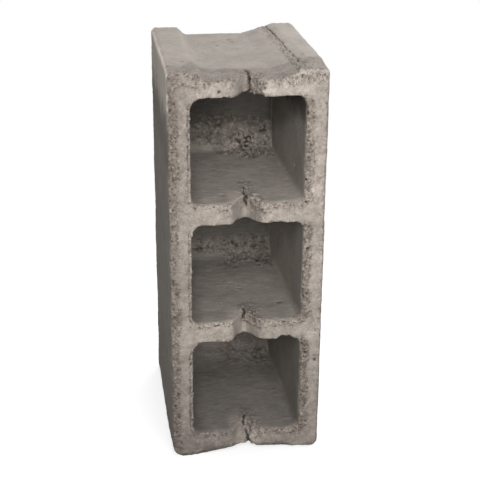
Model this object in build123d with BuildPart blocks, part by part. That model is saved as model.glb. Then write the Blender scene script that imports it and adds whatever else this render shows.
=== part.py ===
"""Hollow concrete block with three blind cores, standing on one end as in the photograph.

Units are millimetres. X runs through the wall, Y along the cores from the open bed to the
closed bed, and Z along the course. The origin is the middle of the lower end of the block.
"""

import os

from build123d import *

# Overall size
unit_length = 400.0
unit_width = 150.0
unit_height = 200.0

# Walls, measured at the open bed where they are thinnest
face_shell = 21.5
inner_web = 21.5
end_web = 17.5
closed_bed = 35.0

# Cores, narrowing towards the closed bed so that the mould's core boxes draw out
core_count = 3
core_draft = 1.7
core_corner_radius = 12.0
core_end_radius = 6.0
core_mouth_bevel = 1.5

# Mortar groove down each end, between two flanges
flange_width = 27.0
groove_depth = 8.0
groove_slope_run = 8.0
groove_foot_radius = 6.0
groove_lip_radius = 6.0

# Notch left in the open bed of every web by the bar that carries the core boxes
notch_width = 30.0
notch_depth = 24.0
notch_tip_radius = 4.0
notch_shoulder_radius = 9.0
end_notch_width = 28.0
end_notch_depth = 14.0

# Edges rounded by handling
corner_radius = 5.0
open_bed_edge_radius = 3.5
closed_bed_edge_radius = 3.0

# Sizes that follow
groove_mouth_width = unit_width - 2 * flange_width
groove_floor_width = groove_mouth_width - 2 * groove_slope_run
core_width = unit_width - 2 * face_shell
core_zone = unit_length - 2 * (groove_depth + end_web)
core_length = (core_zone - (core_count - 1) * inner_web) / core_count
core_pitch = core_length + inner_web
core_depth = unit_height - closed_bed

middle = unit_length / 2
open_bed = Plane(origin=(0, -unit_height / 2, middle), x_dir=(1, 0, 0), z_dir=(0, -1, 0))
into_block = Plane(origin=open_bed.origin, x_dir=(1, 0, 0), z_dir=(0, 1, 0))


def notch_plan(height, width, depth):
    """Plan of the notch at one height: a V with a rounded tip and rolled shoulders."""
    bed = -unit_height / 2
    side = unit_width / 2
    with BuildSketch(Plane.XY.offset(height)) as plan:
        with BuildLine():
            lip = FilletPolyline(
                (-side, bed),
                (-width / 2, bed),
                (0, bed + depth),
                (width / 2, bed),
                (side, bed),
                radius=(notch_shoulder_radius, notch_tip_radius, notch_shoulder_radius),
            )
            Polyline(lip @ 1, (side, bed - depth), (-side, bed - depth), lip @ 0)
        make_face()
    return plan.sketch


# One core as the solid that leaves it, with its mouth on the open bed
with BuildPart() as core_box:
    with BuildSketch(into_block):
        RectangleRounded(core_width, core_length, core_corner_radius)
    extrude(amount=core_depth, taper=core_draft)
    fillet(core_box.faces().sort_by(Axis.Y)[-1].edges(), radius=core_end_radius)
    with BuildSketch(into_block):
        mouth_width = core_width + 2 * core_mouth_bevel
        mouth_length = core_length + 2 * core_mouth_bevel
        RectangleRounded(mouth_width, mouth_length, core_corner_radius + core_mouth_bevel)
    extrude(amount=core_mouth_bevel, taper=45)

with BuildPart() as hollow_block:
    # Outline seen from the open bed, with a mortar groove in each end
    with BuildSketch(open_bed) as outline:
        Rectangle(unit_width, unit_length)
        fillet(outline.vertices(), radius=corner_radius)
        for edge, floor in ((middle, middle - groove_depth), (-middle, groove_depth - middle)):
            with BuildLine():
                Polyline(
                    (-groove_mouth_width / 2, edge),
                    (-groove_floor_width / 2, floor),
                    (groove_floor_width / 2, floor),
                    (groove_mouth_width / 2, edge),
                    close=True,
                )
            make_face(mode=Mode.SUBTRACT)
        between = (groove_floor_width + groove_mouth_width) / 4
        groove_corners = outline.vertices().filter_by(lambda v: abs(v.X) < groove_mouth_width / 2 + 1)
        feet = groove_corners.filter_by(lambda v: abs(v.X) < between)
        lips = groove_corners.filter_by(lambda v: abs(v.X) > between)
        fillet(feet, radius=groove_foot_radius)
        fillet(lips, radius=groove_lip_radius)
    extrude(amount=-unit_height)
    fillet(hollow_block.faces().sort_by(Axis.Y)[0].edges(), radius=open_bed_edge_radius)
    fillet(hollow_block.faces().sort_by(Axis.Y)[-1].edges(), radius=closed_bed_edge_radius)

    # Cores in one row
    core_offsets = [(i - (core_count - 1) / 2) * core_pitch for i in range(core_count)]
    with Locations([(0, 0, offset) for offset in core_offsets]):
        add(core_box.part, mode=Mode.SUBTRACT)

    # Notches of one section in the inner webs, running out shallower through the end webs
    core_row = core_count * core_length + (core_count - 1) * inner_web
    low = middle - core_row / 2
    high = middle + core_row / 2
    extrude(notch_plan(low, notch_width, notch_depth), amount=core_row, mode=Mode.SUBTRACT)
    for inner, outer in ((low, 0), (high, unit_length)):
        deep = notch_plan(inner, notch_width, notch_depth)
        shallow = notch_plan(outer, end_notch_width, end_notch_depth)
        loft([deep, shallow], ruled=True, mode=Mode.SUBTRACT)

hollow_block.part.label = "hollow_block"
os.makedirs("parts", exist_ok=True)
export_step(hollow_block.part, "parts/hollow_block.step")
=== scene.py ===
"""Looks of the hollow concrete block: a worn dry-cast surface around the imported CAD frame.

Lengths are in metres in the CAD's frame, except in the relief, where they are in millimetres.
"""

from math import pi, radians

import bpy
import numpy as np
from mathutils import Matrix, Vector


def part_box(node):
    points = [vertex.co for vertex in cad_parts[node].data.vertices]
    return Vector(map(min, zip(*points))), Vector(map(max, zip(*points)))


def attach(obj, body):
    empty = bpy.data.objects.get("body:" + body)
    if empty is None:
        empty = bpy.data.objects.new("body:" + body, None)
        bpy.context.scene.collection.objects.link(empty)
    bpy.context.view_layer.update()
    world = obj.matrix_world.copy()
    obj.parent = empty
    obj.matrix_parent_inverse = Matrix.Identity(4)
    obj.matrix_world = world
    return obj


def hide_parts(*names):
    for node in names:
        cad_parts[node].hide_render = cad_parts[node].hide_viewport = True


NODE = "hollow_block"
PIECE = "concrete_block"

VOXEL = 0.0010
MOST_TRIANGLES = 190_000

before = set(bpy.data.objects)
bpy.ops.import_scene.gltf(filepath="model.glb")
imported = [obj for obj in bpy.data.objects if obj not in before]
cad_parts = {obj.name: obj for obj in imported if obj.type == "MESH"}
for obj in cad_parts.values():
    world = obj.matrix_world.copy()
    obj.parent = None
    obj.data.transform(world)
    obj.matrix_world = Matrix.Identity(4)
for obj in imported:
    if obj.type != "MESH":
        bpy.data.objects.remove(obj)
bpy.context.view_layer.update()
low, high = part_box(NODE)

# Faces of the block in millimetres: the open bed, the closed bed, the right side and the upper end
BED = round(low.y * 1000, 3)
CLOSED_BED = round(high.y * 1000, 3)
SIDE = round(high.x * 1000, 3)
TOP = round(high.z * 1000, 3)

# Walls that the relief follows, as in the CAD
FACE_SHELL = 21.5
INNER_WEB = 21.5
END_WEB = 17.5
CLOSED_WALL = 35.0
GROOVE_DEPTH = 8.0
CAD_CORE_CORNER = 12.0
DRAFT = 0.0297

# Cores and grooves between those walls
CORE_HALF_WIDTH = SIDE - FACE_SHELL
CORE_HALF_LENGTH = (TOP - 2 * (GROOVE_DEPTH + END_WEB) - 2 * INNER_WEB) / 6
CORE_PITCH = 2 * CORE_HALF_LENGTH + INNER_WEB
CORE_HEIGHTS = np.array([TOP / 2 - CORE_PITCH, TOP / 2, TOP / 2 + CORE_PITCH])
CORE_DEPTH = CLOSED_BED - BED - CLOSED_WALL
GROOVE_FLOOR_LOW = GROOVE_DEPTH
GROOVE_FLOOR_HIGH = TOP - GROOVE_DEPTH

# Corners of the cores as the photograph shows them, with more paste left in the upper left ones
CORE_CORNER = 7.5
PASTE_IN_CORNER = 3.5

ACROSS = np.array([1.0, 0.0, 0.0])
INWARD = np.array([0.0, 1.0, 0.0])
UPWARD = np.array([0.0, 0.0, 1.0])
TINY = 1e-6

# Shift between the cores that gives each one its own stretch of noise
APART = 40.0

# Camera that took the photograph, found from the block's eight corners
CAMERA_PLACE = Vector((-0.1494, -1.1047, 0.6493))
CAMERA_YAW = radians(8.05)
CAMERA_PITCH = radians(22.17)
CAMERA_ROLL = radians(0.34)
CAMERA_SENSOR_MM = 36.0
CAMERA_LENS_MM = 86.24


# Noise: each seed is another pattern


def hashed(cell, seed):
    """A repeatable number from 0 to 1 for each whole-number cell."""
    c = cell.astype(np.int64)
    h = c[:, 0] * 374761393 + c[:, 1] * 668265263 + c[:, 2] * 1103515245 + seed * 1274126177
    h &= 0xFFFFFFFF
    h = ((h ^ (h >> 13)) * 1274126177) & 0xFFFFFFFF
    h = ((h ^ (h >> 15)) * 2246822519) & 0xFFFFFFFF
    return (h ^ (h >> 16)) / 0xFFFFFFFF


def noise(p, size, seed):
    """Smooth noise from -1 to 1, with blobs of about the given size, or of one for each axis."""
    q = p / size + seed * 17.31
    cell = np.floor(q)
    f = q - cell
    f = f * f * f * (f * (f * 6 - 15) + 10)
    total = np.zeros(len(p))
    for corner in np.ndindex(2, 2, 2):
        corner = np.array(corner)
        weight = np.prod(np.where(corner == 1, f, 1 - f), axis=1)
        total += weight * hashed(cell + corner, seed)
    return total * 2 - 1


def fractal(p, size, seed, octaves=4, gain=0.5):
    """Octaves of noise, each half the size of the one before."""
    size = np.asarray(size, float)
    return sum(gain**i * noise(p, size / 2**i, seed + i) for i in range(octaves))


def cells(p, size, seed):
    """Distance to the nearest scattered point, in units of size, and that point's own number."""
    q = p / size
    base = np.floor(q)
    nearest = np.full(len(p), 9.0)
    number = np.zeros(len(p))
    for shift in np.ndindex(3, 3, 3):
        cell = base + np.array(shift) - 1
        point = cell + np.stack([hashed(cell, seed + k) for k in range(3)], axis=1)
        distance = np.sqrt(((point - q) ** 2).sum(axis=1))
        closer = distance < nearest
        nearest[closer] = distance[closer]
        number[closer] = hashed(cell[closer], seed + 3)
    return nearest, number


def nearest_core(z):
    """The core nearest to each height, counted from the foot, and the height over its middle."""
    core = np.argmin([np.abs(z - h) for h in CORE_HEIGHTS], axis=0)
    return core, z - CORE_HEIGHTS[core]


def mouth_corner(x, up):
    """Radius of the cores' corners, larger at the upper left."""
    return CORE_CORNER + PASTE_IN_CORNER * ((x < 0) & (up > 0))


def ramp(x, start, end):
    """0 up to start, 1 from end, smooth between."""
    t = np.clip((x - start) / (end - start), 0, 1)
    return t * t * (3 - 2 * t)


def band(x, centre, half, soft):
    """1 within half of centre, falling to 0 over a soft edge."""
    return 1 - ramp(np.abs(x - centre), half, half + soft)


# Mesh


def shown_mesh(thing):
    """The object's mesh with its modifiers applied."""
    graph = bpy.context.evaluated_depsgraph_get()
    return bpy.data.meshes.new_from_object(thing.evaluated_get(graph))


def dense_copy(node):
    """A closed, even mesh of the CAD node, fine enough to carry the concrete's relief."""
    holder = bpy.data.objects.new("dense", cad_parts[node].data.copy())
    bpy.context.scene.collection.objects.link(holder)
    remesh = holder.modifiers.new("even", "REMESH")
    remesh.mode = "VOXEL"
    remesh.voxel_size = VOXEL
    mesh = shown_mesh(holder)
    bpy.data.objects.remove(holder)
    return mesh


def points(mesh):
    """The mesh's points in millimetres."""
    flat = np.empty(len(mesh.vertices) * 3, np.float32)
    mesh.vertices.foreach_get("co", flat)
    return flat.reshape(-1, 3).astype(float) * 1000


def move_points(mesh, p):
    """Moves the mesh's points to places in millimetres."""
    mesh.vertices.foreach_set("co", (p / 1000).astype(np.float32).ravel())
    mesh.update()


def normals(mesh):
    """The mesh's normals, one for each point."""
    flat = np.empty(len(mesh.vertices) * 3, np.float32)
    mesh.vertex_normals.foreach_get("vector", flat)
    return flat.reshape(-1, 3).astype(float)


# Where a point lies on the block


class Place:
    """Where every point lies: distances in millimetres, and masks from 0 to 1."""

    def __init__(self, p, n):
        self.x, self.y, self.z = p.T
        self.depth = self.y - BED
        self.core, self.up = nearest_core(self.z)

        # Signed distance out from the nearest core's mouth, and the way it grows
        corner_radius = mouth_corner(self.x, self.up)
        qx = np.abs(self.x) - (CORE_HALF_WIDTH - corner_radius)
        qz = np.abs(self.up) - (CORE_HALF_LENGTH - corner_radius)
        ox, oz = np.maximum(qx, 0), np.maximum(qz, 0)
        out = np.hypot(ox, oz)
        self.rim = out + np.minimum(np.maximum(qx, qz), 0) - corner_radius
        corner = out > TINY
        gx = np.where(corner, ox / np.maximum(out, TINY), qx > qz) * np.sign(self.x)
        gz = np.where(corner, oz / np.maximum(out, TINY), qx <= qz) * np.sign(self.up)
        self.away = np.stack([gx, np.zeros(len(p)), gz], axis=1)
        self.to_left, self.to_right = np.clip(-gx, 0, 1) ** 2, np.clip(gx, 0, 1) ** 2
        self.to_floor, self.to_ceiling = np.clip(-gz, 0, 1) ** 2, np.clip(gz, 0, 1) ** 2

        # Surfaces: the cores' insides, the open bed, the upper end and the left side
        in_depth = band(self.depth, CORE_DEPTH / 2, CORE_DEPTH / 2 - 2, 10)
        self.inside = ramp(-self.rim, -2.5, 0.5) * in_depth
        self.bed = ramp(-n[:, 1], 0.45, 0.8) * (1 - ramp(self.depth, 4, 8))
        self.end = ramp(n[:, 2], 0.5, 0.8) * ramp(self.z, TOP - 14, TOP - 10)
        self.left_side = ramp(-n[:, 0], 0.5, 0.8) * (self.x < 5 - SIDE)


def round_edge(p, u, v, way_u, way_v, radius):
    """Pulls points near a convex edge onto an arc of the given radius.

    u and v are the depths under the edge's two faces, and way_u and way_v point down them.
    """
    u, v = np.maximum(u, 0), np.maximum(v, 0)
    r = np.maximum(radius, 1e-3)
    near = (u < r) & (v < r)
    du, dv = u - r, v - r
    far = np.maximum(np.hypot(du, dv), TINY)
    pull = np.where(near, np.minimum(r / far, 1) - 1, 0)
    return p + (pull * du)[:, None] * way_u + (pull * dv)[:, None] * way_v


# Shape: wear that changes the outline


def square_cores(p, n):
    """Draws the cores' rounded corners out from the CAD's radius to the tighter one."""
    x, y, z = p.T
    up = nearest_core(z)[1]
    depth = np.clip(y - BED, 0, CORE_DEPTH)
    corner_radius = mouth_corner(x, up)
    shift = CAD_CORE_CORNER - corner_radius
    old = CAD_CORE_CORNER - DRAFT * depth
    new = corner_radius - DRAFT * depth
    qx = np.abs(x) - (CORE_HALF_WIDTH - CAD_CORE_CORNER)
    qz = np.abs(up) - (CORE_HALF_LENGTH - CAD_CORE_CORNER)
    far = np.maximum(np.hypot(qx, qz), TINY)
    ux, uz = qx / far, qz / far
    reach = old / np.maximum(np.maximum(ux, uz), TINY)
    lean = shift * (ux + uz)
    arc = lean + np.sqrt(np.maximum(lean**2 - 2 * shift**2 + new**2, 0))
    reach = np.where(np.minimum(ux, uz) * reach > shift, arc, reach)
    share = np.clip(far / old, 0, 1) * (1 - ramp(far - old, 2, 9))
    in_corner = (qx > 0) & (qz > 0) & (y - BED < CORE_DEPTH + 1)
    move = np.where(in_corner, (reach - old) * share, 0)
    way = np.stack([ux * np.sign(x), np.zeros(len(p)), uz * np.sign(up)], axis=1)
    return p + move[:, None] * way


# Radii that wear has given the lips of the cores, the upper edge and the foot of the cores' ends
FLOOR_LIP = 5.5
RIGHT_LIP = 2.8
LEFT_LIP = 1.1
CEILING_LIP = 1.0
TOP_LIP = 7.0
CORE_FOOT = 20.0
WORN_ZONE = 12.0


def wear_edges(p, n):
    """Rounds the cores' mouths, the upper edge of the open bed and the foot of each core's end."""
    at = Place(p, n)
    wobble = fractal(p, 14, 31, 3)
    ragged = fractal(p, 5, 35, 3)
    radius = (
        at.to_floor * (FLOOR_LIP + 1.6 * wobble + 1.0 * ragged)
        + at.to_right * (RIGHT_LIP + 1.4 * wobble + 1.4 * ragged)
        + at.to_left * LEFT_LIP
        + at.to_ceiling * (CEILING_LIP + 0.8 * np.maximum(ragged, 0))
    )
    at_mouth = (at.rim < WORN_ZONE)[:, None]
    out = np.where(at_mouth, round_edge(p, at.rim, at.depth, at.away, INWARD, radius), p)

    # Upper edge of the open bed, between the flanges
    under = GROOVE_FLOOR_HIGH - out[:, 2]
    radius = (TOP_LIP + 1.5 * wobble + ragged) * band(p[:, 0], 0, 44, 8)
    on_top = ((under < WORN_ZONE) & (out[:, 2] > TOP - 22))[:, None]
    out = np.where(on_top, round_edge(out, under, out[:, 1] - BED, -UPWARD, INWARD, radius), out)

    # Foot of the core's end
    above = at.up + CORE_HALF_LENGTH - DRAFT * at.depth
    before = CORE_DEPTH - at.depth
    radius = np.full(len(p), CORE_FOOT)
    in_core = ((at.rim < -2) & (before > -2) & (above > -2))[:, None]
    return np.where(in_core, round_edge(out, before, above, -INWARD, UPWARD, radius), out)


# Bites out of the front lip of each core's ceiling: core, middle, half width and height
BITES = (
    (0, 38.0, 4.5, 3.6),
    (0, -7.0, 3.0, 2.0),
    (1, -9.0, 3.0, 1.4),
    (1, 30.0, 6.0, 0.8),
    (2, -26.0, 5.0, 0.9),
    (2, 9.0, 3.0, 1.2),
)


def bite_ceilings(p, n):
    """Breaks the front lip of each core's ceiling into a ragged line."""
    at = Place(p, n)
    x, z = at.x, at.z
    line = np.stack([x, 5.0 + at.core * APART, np.zeros(len(x))], axis=1)
    bite = 0.9 * np.maximum(fractal(line, 9, 41, 3, 0.6), -0.5) + 0.45
    for core, middle, half, height in BITES:
        bite += height * band(x, middle, half, 4.0) * (at.core == core)
    fade = 1 - ramp(at.depth, 5, 20)
    ceiling = CORE_HEIGHTS[at.core] + CORE_HALF_LENGTH
    lift = np.maximum(ceiling + bite * fade - z, 0)
    across = band(x, 0, CORE_HALF_WIDTH - 11, 7)
    near = (at.up > CORE_HALF_LENGTH - 2) & (at.rim > -3) & (at.depth < 22)
    out = p.copy()
    out[:, 2] += np.where(near, lift * across, 0)
    return out


# Right flange of the upper end: a ramp up from the groove to a crease, then a low dome
CREASE_X = 49.6
CREASE_SLANT = 0.036
RAMP_RUN = 25.0
RAMP_START = 391.9
RAMP_RISE = 7.4
DOME_RUN = 9.0
DOME_RISE = 2.8


def crease_line(y):
    """Where the crease along the right flange runs."""
    return CREASE_X - CREASE_SLANT * y


def shape_upper_end(p, n):
    """Builds up the right flange of the upper end."""
    x, y, z = p.T
    crease = crease_line(y)
    ramp_foot = crease - RAMP_RUN
    climb = RAMP_START + RAMP_RISE * np.clip((x - ramp_foot) / RAMP_RUN, 0, 1) ** 1.15
    on_ramp = (z > TOP - 12) & (n[:, 2] > 0.4) & (x > ramp_foot) & (x < crease + 1)
    out = p.copy()
    out[:, 2] = np.where(on_ramp, np.maximum(z, climb), z)
    dome = DOME_RISE * ramp(x, crease, crease + DOME_RUN)
    dome *= ramp(y, -99, -62) * (1 - 0.3 * ramp(y, 85, 100))
    out[:, 2] += dome * ramp(z, TOP - 16, TOP - 2)
    return out


# Lower end near the open bed: concrete left in the groove, a lifted right flange, worn corners
FILL_START_LEFT = -55.0
FILL_SLOPE_LEFT = 0.17
FILL_START_RIGHT = 17.0
FILL_LEVEL_RIGHT = 6.4
FILL_SLOPE_RIGHT = 0.085
FLANGE_LIFT = 2.4
NOTCH_FILL = 0.72
LOW_CORNER = 5.0
LOW_CORNER_WEAR_LEFT = 7.0
LOW_CORNER_WEAR_RIGHT = 3.0


def shape_lower_end(p, n):
    """Fills and wears the lower end near the open bed."""
    x, y, z = p.T
    depth = y - BED
    near = 1 - ramp(depth, 25, 80)
    left = np.clip((x - FILL_START_LEFT) * FILL_SLOPE_LEFT, 0, GROOVE_FLOOR_LOW)
    right = FILL_LEVEL_RIGHT - (x - FILL_START_RIGHT) * FILL_SLOPE_RIGHT
    right = np.clip(right, FLANGE_LIFT, GROOVE_FLOOR_LOW)
    goal = np.maximum(np.where(x < 3, left, right) + 0.35 * noise(p, 9, 51), 0)
    low_face = (n[:, 2] < -0.3) & (z < GROOVE_FLOOR_LOW + 2)
    filled = z + (goal - z) * near * (1 - ramp(np.abs(x), SIDE - 2, SIDE + 1))
    out = p.copy()
    out[:, 2] = np.where(low_face, filled, z)

    # The lowest points of the right side follow its flange up
    lift = FLANGE_LIFT * ramp(x, SIDE - 9, SIDE - 1) * near * (1 - ramp(z, 2, 10))
    out[:, 2] += np.where(low_face, 0, lift)

    # The notch runs out shallower here than through the webs
    in_notch = (1 - ramp(z, 8, 27)) * band(x, 2, 15, 6) * (1 - ramp(depth, 18, 42))
    out[:, 1] -= NOTCH_FILL * in_notch * np.maximum(depth, 0)

    front = 1 - ramp(depth, 8, 60)
    radius_left = LOW_CORNER + LOW_CORNER_WEAR_LEFT * front
    radius_right = LOW_CORNER + LOW_CORNER_WEAR_RIGHT * front
    above = out[:, 2] - FLANGE_LIFT * near
    rounded_left = round_edge(out, x + SIDE, out[:, 2], ACROSS, UPWARD, radius_left)
    rounded_right = round_edge(out, SIDE - x, above, -ACROSS, UPWARD, radius_right)
    return np.where((x < 0)[:, None], rounded_left, rounded_right)


# Relief: what stands along the surface's normal


def seam(p, at):
    """The healed slot behind each notch, and the crumbs beside it."""
    x, y, z = p.T
    web = np.floor(z / (CORE_PITCH / 2)) * APART
    line = np.stack([np.zeros(len(p)), y, web], axis=1)
    along = np.stack([np.zeros(len(p)), y, z], axis=1)
    path = 1.2 + 1.4 * noise(line, 13, 61) + 1.3 * noise(along, 5, 62) + 0.6 * noise(along, 2.3, 63)
    path = path + 2.6 * (1 - ramp(z, 8, 24))
    reach = np.select([z > TOP - 15, z > 240], [40.0, 62.0], 46.0)
    ends = 1 - ramp(at.depth, reach - 10, reach)
    width = np.where(z > TOP - 30, 0.6, 0.35) + 0.7 * noise(along, 4.5, 64)
    width = width + 1.3 * (1 - ramp(z, 9, 16))
    near_web = np.abs(at.up) > CORE_HALF_LENGTH - 7
    open_side = (at.up < 0) | (z > TOP - 30)
    where = ends * near_web * open_side
    slot = band(x, path, np.maximum(width, 0.05), 0.9) * ramp(width, -0.15, 0.15) * where
    return slot, band(x, path + 2, 4, 6) * where


# Tone, as factors on the base colour, much of it painted light and shade; rows of three run from
# the lowest core up
MOST_TONE = 3.0
FLOOR_PAINTED_LIGHT = np.array([-0.20, -0.08, 0.17])
WALL_PAINTED_LIGHT = np.array([0.50, -0.10, -0.50])
WALL_SHADE = np.array([0.40, 0.52, 0.74])
WALL_SHADE_FROM = np.array([-44.0, -37.0, -30.0])
CEILING_SHADE = np.array([0.0, 0.1, 0.80])

# Open concrete in each core: how high over the core's middle it reaches, and how open it is
HONEY_TOP = np.array([-40.0, -31.0, -12.0])
HONEY_SHARE = np.array([0.6, 0.85, 1.0])

# Single pits seen in the photograph: place and radius
PITS = (
    (-29.9, 9.6, 392.0, 1.3),
    (-56.8, -57.5, 400.0, 1.9),
    (-14.9, 53.3, 392.0, 1.1),
    (5.1, 55.7, 392.0, 1.1),
    (39.5, -61.6, 150.2, 2.2),
    (37.0, -62.5, 150.2, 1.6),
    (-44.0, -86.0, 394.0, 2.0),
)

# Single pale grains on the open bed: place and radius
SPECKS = (
    (16.0, 256.0, 2.0),
    (19.5, 254.5, 1.2),
    (27.0, 252.0, 1.0),
    (-66.0, 122.0, 1.6),
    (-60.5, 118.0, 1.0),
)


def tone_outside(at, wander, top_band):
    """Tone of the ends, the left side and the open bed, with painted light and shade among it."""
    x, y, z = at.x, at.y, at.z
    # Painted shade: darker towards the foot, where the light falls off
    tone_and_painted_light = 0.80 + 0.20 * ramp(z, 0, 160)

    # Upper end: pale flanges, darker towards the back, and a band at the front darkened partly by
    # soil and partly by painted shade
    tone_and_painted_light *= 1 + (0.08 + 0.12 * (x > 0)) * ramp(z, TOP - 8, TOP - 1)
    tone_and_painted_light *= 1 - 0.07 * at.end * ramp(y, 20, 90)
    tone_and_painted_light *= 1 - 0.20 * top_band

    # Left side: painted light, lighter under the upper end where light from above grazes it, and a
    # painted shade belt below it
    height = z + 8 * wander
    tone_and_painted_light *= 1 + 1.85 * at.left_side * ramp(height, 340, 376)
    tone_and_painted_light *= 1 - 0.24 * at.left_side * band(height, 326, 4, 26)

    # Open bed: a darker left shell, then its webs one by one
    tone_and_painted_light *= 1 - (0.15 + 0.09 * ramp(z, 250, 330)) * ramp(-x, 40, 74) * at.bed
    tone_and_painted_light *= 1 + 0.04 * ramp(x, 54, 58) * at.bed
    web = at.bed * (np.abs(at.up) > CORE_HALF_LENGTH - 1)
    tone_and_painted_light *= 1 + web * (0.07 * band(z, 200, 80, 10) + 0.08 * band(z, 138, 12, 4) * (x < -8))
    top_web = web * ramp(z, TOP - 30, TOP - 22)
    tone_and_painted_light *= 1 + top_web * (0.27 * band(x, 35, 18, 8) + 0.08 * band(x, -35, 20, 8))
    tone_and_painted_light *= 1 - 0.16 * web * (1 - ramp(z, 22, 30)) * (1 - ramp(x, -10, 15))
    return tone_and_painted_light


def painted_light_in_cores(n, at, wander):
    """Tone of the cores' floors, closed ends, right walls and ceilings: mostly painted light and
    shade, with paste beside the seams.
    """
    x, depth, up, core = at.x, at.depth, at.up, at.core

    # Floors: painted light and shade, a tone for each core and lighter at the back of the lowest
    # one, with paste rubbed on beside the seams
    floor = at.inside * ramp(n[:, 2], 0.3, 0.8)
    tone_and_painted_light = 1 + floor * FLOOR_PAINTED_LIGHT[core]
    tone_and_painted_light *= 1 + 0.25 * floor * (core == 0) * ramp(depth, 115, 140)
    tone_and_painted_light *= 1 + 0.22 * floor * band(x, -7, 6, 6) * (1 - ramp(depth, 26, 40))

    # Closed ends: painted light, a tone for each core and lighter to the right in the highest one;
    # painted shade in the left foot, which the left shell shades, and painted shadow under the
    # ceiling
    faces_out = 1 - ramp(np.abs(n[:, 0]), 0.7, 0.98)
    wall = at.inside * ramp(depth, 130, 154) * (1 - floor) * faces_out
    tone_and_painted_light *= 1 + wall * WALL_PAINTED_LIGHT[core]
    left_foot = (1 - ramp(x, -28, 12)) * (1 - ramp(up, -42, -34)) * ramp(depth, 128, 142)
    tone_and_painted_light *= 1 - 0.40 * at.inside * left_foot * (1 - 0.85 * ramp(n[:, 2], 0.4, 0.9))
    tone_and_painted_light *= 1 + wall * (core == 2) * ramp(x, -20, 18)
    tone_and_painted_light *= 1 - wall * WALL_SHADE[core] * ramp(up + 3 * wander - WALL_SHADE_FROM[core], 0, 14)

    # Right walls: painted shade near the mouth and painted light deep in; painted shadow of the
    # ceiling's lip on the highest core's right wall; painted shade in the ceilings and along the
    # left of each core
    right_wall = at.inside * ramp(-n[:, 0], 0.5, 0.8)
    tone_and_painted_light *= 1 - (0.24 * (1 - ramp(depth, 20, 120)) - 0.12) * right_wall * (core < 2)
    under_lip = ramp(up + 0.42 * depth, 30, 48) * ramp(depth, 10, 50)
    tone_and_painted_light *= 1 - 0.40 * right_wall * (core == 2) * under_lip
    tone_and_painted_light *= 1 - CEILING_SHADE[core] * at.inside * ramp(up + 5 * wander, 14, 42)
    tone_and_painted_light *= 1 - 0.25 * at.inside * ramp(-x, 36, 50)
    return tone_and_painted_light


def bed_margins(p, at, wander):
    """Rough margins of the open bed, around the smooth imprint that the mould's head leaves."""
    margin = 3.2 * at.to_left + 9.0 * at.to_right + 1.5 * at.to_ceiling
    margin = margin + at.to_floor * np.where(at.x < 0, 5.5, 7.5)
    margin = margin + 1.6 * noise(p, 9, 11) * (0.4 + at.to_right + at.to_floor)
    mouth = 1 - ramp(at.rim, margin - 1.4, margin + 1.4)
    left = 1 - ramp(at.x + SIDE, 8.0 + 2.4 * wander, 10.5 + 2.4 * wander)
    right = 1 - ramp(SIDE - at.x, 2.0, 5.0)
    top = ramp(at.z + 2 * wander, TOP - 16, TOP - 11)
    return mouth, left, top, np.maximum.reduce([mouth, left, 0.4 * right, 0.8 * top])


def honeycomb(p, at):
    """Loose, open concrete at the foot of the cores' closed ends."""
    x, depth, up = at.x, at.depth, at.up
    edge = 14 * noise(p, 20, 13) + 5 * noise(p, 6, 14)
    on_wall = ramp(depth, 144, 156) * (1 - ramp(up + 0.5 * edge - HONEY_TOP[at.core], -5, 5))
    on_wall *= 1 - (1 - ramp(x, -28, 12)) * (1 - ramp(up, -44, -38))
    on_floor = (up < -25) * ramp(depth + 0.7 * edge + 0.12 * x, 124, 140) * ramp(x, -22, 10)
    across = ramp(x, -44, -30) * (1 - ramp(x, 44, 50))
    return np.maximum(on_wall, on_floor) * across * at.inside * HONEY_SHARE[at.core]


def crease_marks(p, at):
    """The crease along the right flange of the upper end, and the crumbled strip beside it."""
    x, y = at.x, at.y
    way = np.stack([np.zeros(len(p)), y, np.zeros(len(p))], axis=1)
    path = crease_line(y) + noise(way, 16, 21) + noise(way, 5, 22) + 0.5 * noise(way, 2.2, 23)
    broken = ramp(noise(way, 7, 24), -0.9, -0.2)
    crease = at.end * band(x, path, 0.35, 0.8) * broken * ramp(y, -86, -78)
    return crease, at.end * band(x, path - 3, 2.5, 3)


def single_pits(p):
    """The pits of the list, 1 at the bottom of each."""
    pits = np.zeros(len(p))
    for x, y, z, radius in PITS:
        away = np.sqrt((p[:, 0] - x) ** 2 + (p[:, 1] - y) ** 2 + (p[:, 2] - z) ** 2)
        pits = np.maximum(pits, 1 - ramp(away, 0.5 * radius, 1.3 * radius))
    return pits


def single_specks(at):
    """The pale grains of the list."""
    specks = np.zeros(len(at.x))
    for x, z, radius in SPECKS:
        away = np.hypot(at.x - x, at.z - z)
        specks += at.bed * (1 - ramp(away, 0.6 * radius, 1.2 * radius))
    return specks


# Heights and depths of the relief
WAVES = 0.35
HOLE_DEPTH = 2.0
PIT_DEPTH = 1.4
SLOT_DEPTH = 2.6
CREASE_DEPTH = 1.7
FLASH_HEIGHT = 0.5
FLASH_LINE_DEPTH = 0.8
DRAG_MARKS = 0.22

# Spacing of the pores and grains, the larger holes, and the lumps of open concrete
PORES_APART = 3.6
HOLES_APART = 9.0
LUMPS_APART = 3.5


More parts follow.
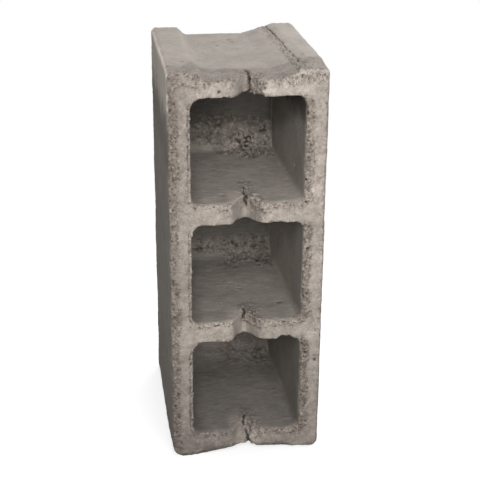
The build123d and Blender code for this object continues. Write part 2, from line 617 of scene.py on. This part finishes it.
def relief(p, n):
    """Displacement along the normal, and the masks that the material uses."""
    at = Place(p, n)
    x, z, depth, rim, up = at.x, at.z, at.depth, at.rim, at.up
    soft = fractal(p, 22, 1, 3)
    fine = fractal(p, 3.4, 5, 2)
    grit = fractal(p, 1.9, 7, 2)
    patch = ramp(fractal(p, 16, 9, 3), -0.2, 0.6)
    wander = noise(p, 10, 12)

    mouth_rim, left_strip, top_strip, edges = bed_margins(p, at, wander)
    honey = honeycomb(p, at)
    back_of_band = 37 - 15 * (1 - ramp(x, -58, -44)) - 9 * ramp(x, 50, 60)
    top_band = at.end * (1 - ramp(depth + 5 * wander - back_of_band, 0, 13))
    slot, crumbs = seam(p, at)
    crease, crumbled = crease_marks(p, at)

    # Cheeks of the notches, rougher on the right and where a web faces up
    on_web = np.abs(up) > CORE_HALF_LENGTH - 3
    cheek = band(x, 0, 15, 3) * (1 - ramp(depth, 22, 28)) * on_web
    right_cheek = cheek * ramp(x, 0, 3) * ramp(z, 12, 24)
    upper_cheek = right_cheek * ((up < 0) | (z > TOP - 30))

    rough = (
        0.12
        + at.bed * (0.25 + 0.7 * edges)
        + 0.8 * honey
        + 0.45 * top_band
        + 0.7 * crumbs
        + 0.25 * right_cheek
        + 0.45 * upper_cheek
        + 0.5 * crumbled
        + 0.12 * patch
    )
    rough = np.clip(rough, 0, 1)

    # Pores, holes, and grains that stand out
    f_small, id_small = cells(p, PORES_APART, 71)
    f_large, id_large = cells(p, HOLES_APART, 75)
    bent = p + 0.9 * np.stack([fine, soft, grit], axis=1)
    f_lump, id_lump = cells(bent, LUMPS_APART, 81)
    rough_bed = at.bed * edges
    porous = 0.05 + 0.58 * rough_bed + 0.3 * crumbs + 0.22 * top_band * patch + 0.3 * upper_cheek
    pores = (id_small < np.clip(porous, 0, 0.6)) * (1 - ramp(f_small, 0.14, 0.44))
    holes = (id_large < 0.02 + 0.30 * rough_bed) * (1 - ramp(f_large, 0.10, 0.28))
    grains = (id_small > 1 - 0.5 * rough) * (1 - ramp(f_small, 0.2, 0.55))
    pits = single_pits(p)

    # Lip of flash along the left of each mouth, lit by a painted highlight, and the line outside
    # it, darkened by painted shadow
    left_rim = at.bed * at.to_left
    lip = left_rim * band(rim, 0.8, 0.4, 0.9)
    kept_line = ramp(noise(p, 6, 17), -0.7, 0.3)
    line = left_rim * band(rim, 3.0 + 0.5 * noise(p, 20, 16), 0.2, 0.8) * kept_line

    d = WAVES * soft + (0.08 + 0.5 * rough) * fine + 0.35 * rough * grit
    d -= (0.5 + 1.1 * rough) * pores + HOLE_DEPTH * holes
    outer_edge = ramp(np.abs(x), SIDE - 3, SIDE - 0.5)
    d += (0.75 + 0.5 * rough_bed) * rough * grains * (1 - 0.5 * outer_edge)
    d += honey * (0.8 - 1.8 * f_lump + 1.2 * (id_lump - 0.5) + 1.3 * fine)
    d += FLASH_HEIGHT * lip - FLASH_LINE_DEPTH * line

    # Drag marks across the cores' floors, torn cheeks and the crumbled strip
    floor = at.inside * (n[:, 2] > 0.5) * (1 - honey)
    d += DRAG_MARKS * floor * noise(p, np.array([9.0, 1.6, 6.0]), 18) * (0.4 + 0.6 * patch)
    torn = fractal(p, np.array([2.6, 4.0, 7.0]), 19, 2)
    d += (0.25 * right_cheek + 0.45 * upper_cheek) * torn
    d -= SLOT_DEPTH * slot + CREASE_DEPTH * crease
    d += crumbled * (0.6 * fine + 0.5 * grit + 0.6 * (0.35 - f_small))
    d -= PIT_DEPTH * pits

    # Painted shade in the openings, stain, and pale places with a painted highlight on the flash
    # lip
    gaps = ramp(noise(p, 5, 25), -0.35, 0.25) * (0.3 + 0.7 * patch)
    hollow_shade = (
        0.9 * pits
        + 0.8 * pores * (0.4 + 0.6 * rough)
        + 0.9 * holes
        + 0.95 * slot
        + 0.6 * line
        + 0.8 * crease
        + honey * ramp(f_lump - 0.2 * fine, 0.42, 0.60) * gaps
    )
    stain = np.maximum.reduce([
        at.bed * left_strip * (0.8 + 0.3 * wander),
        0.35 * top_band * patch,
        0.4 * at.bed * top_strip * band(x, -28, 26, 10),
        0.3 * upper_cheek,
        0.3 * honey,
        0.3 * at.left_side * (1 - ramp(z, 30, 150)),
        at.bed * mouth_rim * (0.35 * at.to_floor + 0.95 * at.to_right),
    ])
    pale_and_highlit = (
        0.8 * lip
        + rough * grains * (0.3 + 0.9 * at.bed)
        + 0.5 * honey * (id_lump > 0.7) * (f_lump < 0.45)
        + single_specks(at)
    )
    # Tone with painted light and shade, outside and in the cores
    tone_and_painted_light = tone_outside(at, wander, top_band) * painted_light_in_cores(n, at, wander)
    masks = {
        "tone_and_painted_light": tone_and_painted_light / MOST_TONE,
        "hollow_shade": hollow_shade,
        "rough": rough,
        "bed": at.bed + 0.6 * cheek,
        "stain": stain,
        "core": at.inside,
        "pale_and_highlit": pale_and_highlit,
    }
    return d, {name: np.clip(mask, 0, 1) for name, mask in masks.items()}


def store(mesh, name, values):
    """Keeps a mask on the mesh for the material."""
    layer = mesh.attributes.new(name, "FLOAT", "POINT")
    layer.data.foreach_set("value", values.astype(np.float32))


def build_block():
    """The block as one closed mesh: the CAD's shape, its wear and its relief."""
    mesh = dense_copy(NODE)
    # each step takes the points and their normals, and gives the points' new places
    steps = (square_cores, shape_upper_end, bite_ceilings, wear_edges, shape_lower_end)
    for step in steps:
        move_points(mesh, step(points(mesh), normals(mesh)))
    p, n = points(mesh), normals(mesh)
    d, masks = relief(p, n)
    p += d[:, None] * n
    p[:, 2] = np.maximum(p[:, 2], 0)
    move_points(mesh, p)
    for name, values in masks.items():
        store(mesh, name, values)
    piece = bpy.data.objects.new(PIECE, mesh)
    bpy.context.scene.collection.objects.link(piece)
    mesh.calc_loop_triangles()
    thin = piece.modifiers.new("thin", "DECIMATE")
    thin.ratio = min(1.0, MOST_TRIANGLES / len(mesh.loop_triangles))
    light = shown_mesh(piece)
    piece.modifiers.clear()
    piece.data = light
    bpy.data.meshes.remove(mesh)
    light.shade_smooth()
    return piece


# Material

# Colours as the share of light thrown back
GREY = (0.392, 0.354, 0.316, 1)
BED_TONE = (0.490, 0.428, 0.374, 1)
PALE_TONE = (0.640, 0.565, 0.505, 1)
BROWN = (0.150, 0.116, 0.090, 1)
# Painted shade for pores, pits and the other hollows
HOLLOW_SHADE = (0.055, 0.046, 0.038, 1)

GLOSS = 0.3
BUMP_STRENGTH = 0.6
BUMP_HEIGHT = 0.0010
VEIN_BEND = 0.0012


class Nodes:
    """Short names for the shader nodes of one material."""

    def __init__(self, material):
        material.use_nodes = True
        self.tree = material.node_tree
        self.surface = self.tree.nodes["Principled BSDF"]
        self.place = self.add("ShaderNodeTexCoord").outputs["Object"]

    def add(self, kind, **settings):
        node = self.tree.nodes.new(kind)
        for name, value in settings.items():
            setattr(node, name, value)
        return node

    def join(self, value, socket):
        """Sets the socket to a constant, or links it to another one."""
        if isinstance(value, (int, float, tuple)):
            socket.default_value = value
        else:
            self.tree.links.new(value, socket)

    def mask(self, name):
        """A mask that the mesh carries."""
        return self.add("ShaderNodeAttribute", attribute_name=name).outputs["Fac"]

    def noise(self, size_mm, detail=4.0, roughness=0.55, stretch=(1, 1, 1)):
        """Noise with blobs of about the given size."""
        scale = self.add("ShaderNodeMapping")
        scale.inputs["Scale"].default_value = [1000 / size_mm / k for k in stretch]
        self.join(self.place, scale.inputs["Vector"])
        node = self.add("ShaderNodeTexNoise")
        node.inputs["Scale"].default_value = 1.0
        node.inputs["Detail"].default_value = detail
        node.inputs["Roughness"].default_value = roughness
        self.join(scale.outputs["Vector"], node.inputs["Vector"])
        return node.outputs["Fac"]

    def grains(self, size_mm):
        """Distance to the nearest of points scattered about that far apart."""
        node = self.add("ShaderNodeTexVoronoi")
        node.inputs["Scale"].default_value = 1000 / size_mm
        self.join(self.place, node.inputs["Vector"])
        return node.outputs["Distance"]

    def veins(self, size_mm):
        """Thin wandering lines between grains."""
        bent = self.add("ShaderNodeVectorMath", operation="MULTIPLY_ADD")
        self.join(self.noise_vector(size_mm * 0.8), bent.inputs[0])
        bent.inputs[1].default_value = [VEIN_BEND] * 3
        self.join(self.place, bent.inputs[2])
        node = self.add("ShaderNodeTexVoronoi", feature="DISTANCE_TO_EDGE")
        node.inputs["Scale"].default_value = 1000 / size_mm
        self.join(bent.outputs["Vector"], node.inputs["Vector"])
        return self.spread(node.outputs["Distance"], 0.03, 0.13, 1.0, 0.0)

    def noise_vector(self, size_mm):
        """Noise that differs from one axis to the next."""
        node = self.add("ShaderNodeTexNoise")
        node.inputs["Scale"].default_value = 1000 / size_mm
        self.join(self.place, node.inputs["Vector"])
        return node.outputs["Color"]

    def spread(self, value, start, end, to_start=0.0, to_end=1.0):
        """The value carried from one range to another, and held at its ends."""
        node = self.add("ShaderNodeMapRange")
        ends = {"From Min": start, "From Max": end, "To Min": to_start, "To Max": to_end}
        for name, number in ends.items():
            node.inputs[name].default_value = number
        self.join(value, node.inputs["Value"])
        return node.outputs["Result"]

    def math(self, operation, a, b):
        node = self.add("ShaderNodeMath", operation=operation)
        self.join(a, node.inputs[0])
        self.join(b, node.inputs[1])
        return node.outputs[0]

    def times(self, a, b):
        return self.math("MULTIPLY", a, b)

    def mix(self, factor, a, b):
        node = self.add("ShaderNodeMix", data_type="RGBA")
        sockets = [socket for socket in node.inputs if socket.enabled]
        for socket, value in zip(sockets, (factor, a, b)):
            self.join(value, socket)
        return next(socket for socket in node.outputs if socket.enabled)

    def scaled(self, colour, factor):
        """The colour made lighter or darker by a factor."""
        node = self.add("ShaderNodeVectorMath", operation="SCALE")
        self.join(colour, node.inputs[0])
        self.join(factor, node.inputs["Scale"])
        return node.outputs["Vector"]


def make_concrete():
    """Matt concrete, with stain, pores, scoured places, painted light and shade, and painted shade
    in its hollows where the masks say.
    """
    material = bpy.data.materials.new("concrete")
    t = Nodes(material)
    hollow_shade, rough, bed = t.mask("hollow_shade"), t.mask("rough"), t.mask("bed")
    stain, pale_and_highlit, core = t.mask("stain"), t.mask("pale_and_highlit"), t.mask("core")

    # Base tone: grey where the mould rubbed, warmer on the open bed, with pale smears of paste
    colour = t.mix(t.times(bed, t.spread(t.noise(40), 0.3, 0.6, 0.55, 1.0)), GREY, BED_TONE)
    smear = t.spread(t.noise(24, 4, 0.6, (1.6, 1, 1)), 0.5, 0.68, 0.0, 0.62)
    colour = t.mix(t.times(bed, smear), colour, PALE_TONE)
    colour = t.scaled(colour, t.spread(t.noise(30, 5, 0.6), 0.3, 0.7, 0.89, 1.10))
    mottle = t.spread(t.noise(7, 4, 0.65), 0.3, 0.7, -1.0, 1.0)
    colour = t.scaled(colour, t.math("ADD", 1.0, t.times(mottle, t.spread(bed, 0, 1, 0.07, 0.22))))

    # Soiled and scoured places, and painted light and shade, from the tone mask
    colour = t.scaled(colour, t.times(t.mask("tone_and_painted_light"), MOST_TONE))

    # Scratches that the core box drew across the cores
    scratch = t.spread(t.noise(1.1, 3, 0.6, (12, 1.2, 1.2)), 0.32, 0.68, -0.20, 0.20)
    colour = t.scaled(colour, t.math("ADD", 1.0, t.times(scratch, core)))

    # Sand grains, stronger where the surface is rough
    sand = t.spread(t.noise(1.6, 2, 0.6), 0.3, 0.7, -1.0, 1.0)
    colour = t.scaled(colour, t.math("ADD", 1.0, t.times(sand, t.spread(rough, 0, 1, 0.04, 0.30))))
    # Pale grains and specks, with a painted highlight along the flash lip
    colour = t.mix(t.times(pale_and_highlit, 0.62), colour, PALE_TONE)

    # Brown stain, and painted shade in open pores and the other hollows
    patches = t.spread(t.noise(5, 5, 0.75), 0.40, 0.60, 0.04, 0.78)
    colour = t.mix(t.times(stain, patches), colour, BROWN)
    crumbs = t.spread(t.noise(3.0, 3, 0.7), 0.56, 0.64)
    colour = t.mix(t.times(crumbs, t.spread(rough, 0.2, 0.9, 0.03, 0.72)), colour, BROWN)
    gate = t.times(t.spread(t.noise(9, 3, 0.6), 0.42, 0.56), t.spread(rough, 0.30, 0.75))
    colour = t.mix(t.times(t.times(t.veins(4.2), gate), 0.58), colour, BROWN)
    colour = t.mix(hollow_shade, colour, HOLLOW_SHADE)
    t.join(colour, t.surface.inputs["Base Color"])
    t.join(t.spread(t.noise(11), 0.3, 0.7, 0.84, 0.96), t.surface.inputs["Roughness"])
    t.surface.inputs["Specular IOR Level"].default_value = GLOSS

    # Grain too fine for the mesh
    grain = t.times(t.noise(1.3, 3, 0.6), t.spread(rough, 0, 1, 0.4, 1.0))
    lumps = t.times(t.grains(2.4), t.spread(rough, 0, 1, 0.1, 1.0))
    bump = t.add("ShaderNodeBump")
    bump.inputs["Strength"].default_value = BUMP_STRENGTH
    bump.inputs["Distance"].default_value = BUMP_HEIGHT
    t.join(t.math("ADD", grain, lumps), bump.inputs["Height"])
    t.join(bump.outputs["Normal"], t.surface.inputs["Normal"])
    return material


piece = build_block()
piece.data.materials.clear()
piece.data.materials.append(make_concrete())
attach(piece, "root")
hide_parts(NODE)


# Studio

WORLD_FILL = 0.08

# Floor: its size, the gap under the block, its tones, and where it turns plain white
FLOOR_HALF = 30.0
FLOOR_GAP = 0.0002
FLOOR_GREY = 0.6
FLOOR_GLOW = 0.70
FLOOR_BOUNCE = 0.12
NEAR_FLOOR = 0.20
FAR_FLOOR = 0.55

# Lamps: name, direction from the block, distance, side, and power in watts
LAMPS = (
    ("key", (0.0, -1.0, 0.65), 1.1, 0.5, 2.6),
    ("below key", (0.0, -1.0, 0.3), 1.1, 0.5, 3.7),
    ("left of key", (-0.4, -1.0, 0.6), 1.1, 0.5, 2.1),
    ("right of key", (0.4, -1.0, 0.3), 1.1, 0.5, 1.0),
    ("overhead", (0.2, 0.5, 1.0), 1.1, 0.9, 7.4),
    ("side", (-1.0, -0.3, 0.6), 1.3, 0.9, 0.3),
    ("back", (0.5, 1.0, 0.35), 1.3, 0.9, 5.0),
)


def make_camera():
    """The photograph's viewpoint."""
    camera = bpy.data.objects.new("camera", bpy.data.cameras.new("camera"))
    camera.data.sensor_width = CAMERA_SENSOR_MM
    camera.data.lens = CAMERA_LENS_MM
    turn = (
        Matrix.Rotation(-CAMERA_YAW, 4, "Z")
        @ Matrix.Rotation(pi / 2 - CAMERA_PITCH, 4, "X")
        @ Matrix.Rotation(CAMERA_ROLL, 4, "Z")
    )
    camera.matrix_world = Matrix.Translation(CAMERA_PLACE) @ turn
    bpy.context.scene.collection.objects.link(camera)
    bpy.context.scene.camera = camera


def seen_or_not(tree, seen, unseen):
    """One shader for what is seen, also in gloss and glass, and one for the light given off."""
    path = tree.nodes.new("ShaderNodeLightPath")
    factor = path.outputs["Is Camera Ray"]
    for name in ("Is Glossy Ray", "Is Transmission Ray"):
        either = tree.nodes.new("ShaderNodeMath")
        either.operation = "MAXIMUM"
        tree.links.new(factor, either.inputs[0])
        tree.links.new(path.outputs[name], either.inputs[1])
        factor = either.outputs[0]
    mix = tree.nodes.new("ShaderNodeMixShader")
    tree.links.new(factor, mix.inputs["Fac"])
    tree.links.new(unseen, mix.inputs[1])
    tree.links.new(seen, mix.inputs[2])
    return mix.outputs[0]


def make_world():
    """A dim, even fill light that is seen as plain white."""
    world = bpy.data.worlds.new("studio")
    world.use_nodes = True
    tree = world.node_tree
    fill = tree.nodes["Background"]
    fill.inputs["Color"].default_value = (1, 1, 1, 1)
    fill.inputs["Strength"].default_value = WORLD_FILL
    backdrop = tree.nodes.new("ShaderNodeBackground")
    backdrop.inputs["Color"].default_value = (1, 1, 1, 1)
    backdrop.inputs["Strength"].default_value = 1.0
    mixed = seen_or_not(tree, backdrop.outputs[0], fill.outputs[0])
    tree.links.new(mixed, tree.nodes["World Output"].inputs["Surface"])
    bpy.context.scene.world = world


def paint_floor(material):
    """White to look at, under the block's shadow, and dull in the light that it throws back."""
    material.use_nodes = True
    tree = material.node_tree
    tree.nodes.remove(tree.nodes["Principled BSDF"])
    white = tree.nodes.new("ShaderNodeBsdfDiffuse")
    white.inputs["Color"].default_value = (FLOOR_GREY, FLOOR_GREY, FLOOR_GREY, 1)
    glow = tree.nodes.new("ShaderNodeEmission")
    glow.inputs["Strength"].default_value = FLOOR_GLOW
    near = tree.nodes.new("ShaderNodeAddShader")
    tree.links.new(white.outputs[0], near.inputs[0])
    tree.links.new(glow.outputs[0], near.inputs[1])

    # Further off, where the lamps no longer reach, the floor is plain white
    far = tree.nodes.new("ShaderNodeEmission")
    place = tree.nodes.new("ShaderNodeTexCoord")
    distance = tree.nodes.new("ShaderNodeVectorMath")
    distance.operation = "LENGTH"
    tree.links.new(place.outputs["Object"], distance.inputs[0])
    fade = tree.nodes.new("ShaderNodeMapRange")
    fade.inputs["From Min"].default_value = NEAR_FLOOR
    fade.inputs["From Max"].default_value = FAR_FLOOR
    tree.links.new(distance.outputs["Value"], fade.inputs["Value"])
    both = tree.nodes.new("ShaderNodeMixShader")
    tree.links.new(fade.outputs["Result"], both.inputs["Fac"])
    tree.links.new(near.outputs[0], both.inputs[1])
    tree.links.new(far.outputs[0], both.inputs[2])
    dull = tree.nodes.new("ShaderNodeBsdfDiffuse")
    dull.inputs["Color"].default_value = (FLOOR_BOUNCE, FLOOR_BOUNCE, FLOOR_BOUNCE, 1)
    mixed = seen_or_not(tree, both.outputs[0], dull.outputs[0])
    tree.links.new(mixed, tree.nodes["Material Output"].inputs["Surface"])


def make_floor():
    """A square floor just under the block."""
    half = FLOOR_HALF
    corners = [(-half, -half, 0), (half, -half, 0), (half, half, 0), (-half, half, 0)]
    mesh = bpy.data.meshes.new("floor")
    mesh.from_pydata(corners, [], [(0, 1, 2, 3)])
    floor = bpy.data.objects.new("floor", mesh)
    floor.location.z = -FLOOR_GAP
    bpy.context.scene.collection.objects.link(floor)
    material = bpy.data.materials.new("floor")
    paint_floor(material)
    mesh.materials.append(material)


def softbox(name, direction, distance, side, power):
    """A square lamp that faces the middle of the block."""
    light = bpy.data.lights.new(name, "AREA")
    light.shape = "SQUARE"
    light.size = side
    light.energy = power
    lamp = bpy.data.objects.new(name, light)
    aim = (low + high) / 2
    place = aim + Vector(direction).normalized() * distance
    turn = (aim - place).to_track_quat("-Z", "Y").to_matrix().to_4x4()
    lamp.matrix_world = Matrix.Translation(place) @ turn
    bpy.context.scene.collection.objects.link(lamp)


make_camera()
make_world()
make_floor()
for lamp in LAMPS:
    softbox(*lamp)

bpy.context.scene.view_settings.view_transform = "Standard"
